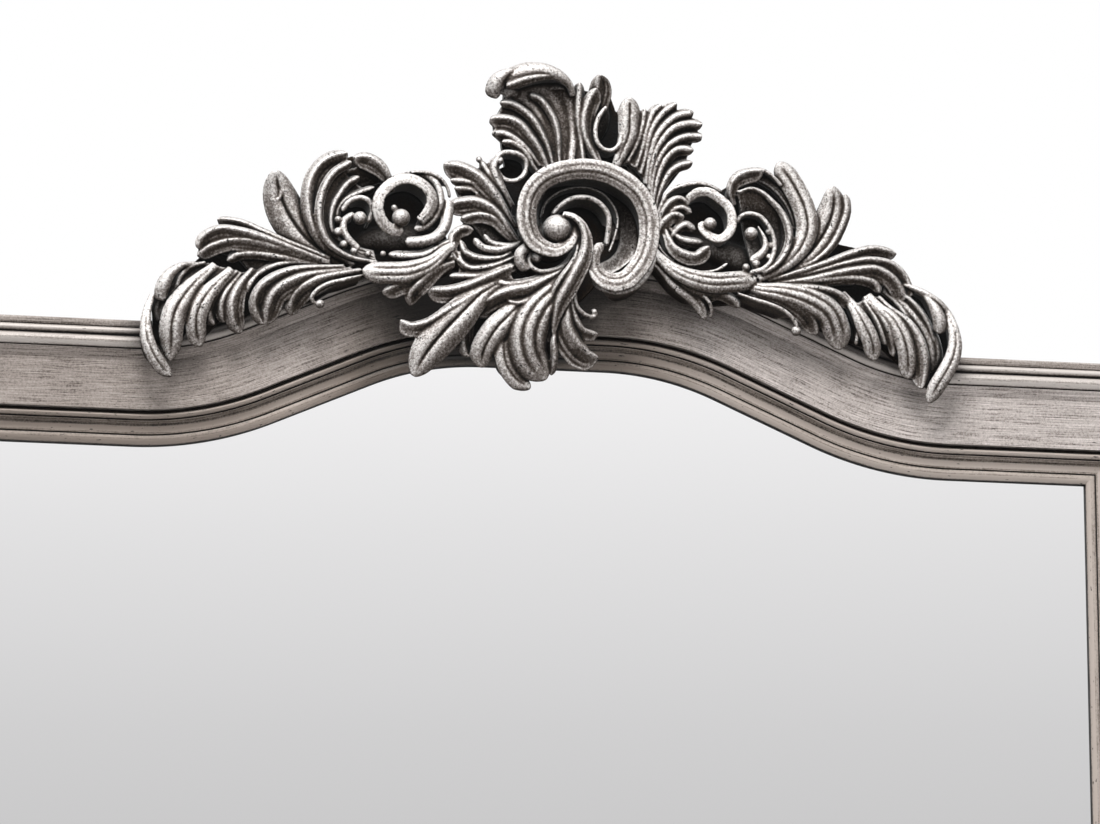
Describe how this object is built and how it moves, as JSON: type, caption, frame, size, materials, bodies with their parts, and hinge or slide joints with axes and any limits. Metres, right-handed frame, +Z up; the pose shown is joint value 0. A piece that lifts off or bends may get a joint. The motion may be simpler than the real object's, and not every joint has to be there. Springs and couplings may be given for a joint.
{
  "type": "baroque wall mirror",
  "caption": "Antique-silver baroque wall mirror with a serpentine top rail and a carved crest of leaves, volutes and a shell.",
  "frame": {"origin": "centre of the flat underside of the bottom rail, midway through the depth of the frame's edge", "axes": "+Z up, +X to the viewer's right, the glass faces -Y and the wall is on the +Y side"},
  "size_m": [1.05, 0.0843, 1.4721],
  "materials": {
    "silvered_field": "brushed antique silver leaf over wood",
    "silvered_moulding": "rubbed antique silver leaf over wood",
    "silvered_casting": "antique silver leaf with dark recesses on cast resin",
    "mirror_glass": "silvered float glass",
    "backing_board": "bare hardboard",
    "zinc_steel": "zinc-plated",
    "foam": "black closed-cell foam",
    "spline_wood": "bare beech ply",
    "rubber": "matt"
  },
  "bodies": {
    "root": {"top_rail": "silvered_field", "bottom_rail": "silvered_field", "left_stile": "silvered_field", "right_stile": "silvered_field", "outer_moulding_top": "silvered_moulding", "sight_moulding_top": "silvered_moulding", "cushion_strip_top": "foam", "outer_moulding_bottom": "silvered_moulding", "sight_moulding_bottom": "silvered_moulding", "cushion_strip_bottom": "foam", "outer_moulding_left": "silvered_moulding", "sight_moulding_left": "silvered_moulding", "cushion_strip_left": "foam", "outer_moulding_right": "silvered_moulding", "sight_moulding_right": "silvered_moulding", "cushion_strip_right": "foam", "mirror_glass": "mirror_glass", "backing_board": "backing_board", "crest_cartouche": "silvered_casting", "crest_left_spray": "silvered_casting", "crest_right_spray": "silvered_casting", "left_hanger": "zinc_steel", "right_hanger": "zinc_steel", "hanger_screws": "zinc_steel", "board_screws": "zinc_steel", "corner_plates": "zinc_steel", "corner_screws": "zinc_steel", "crest_screws": "zinc_steel", "crest_straps": "zinc_steel", "strap_screws": "zinc_steel", "corner_splines": "spline_wood", "wall_bumpers": "rubber"}
  },
  "joints": []
}
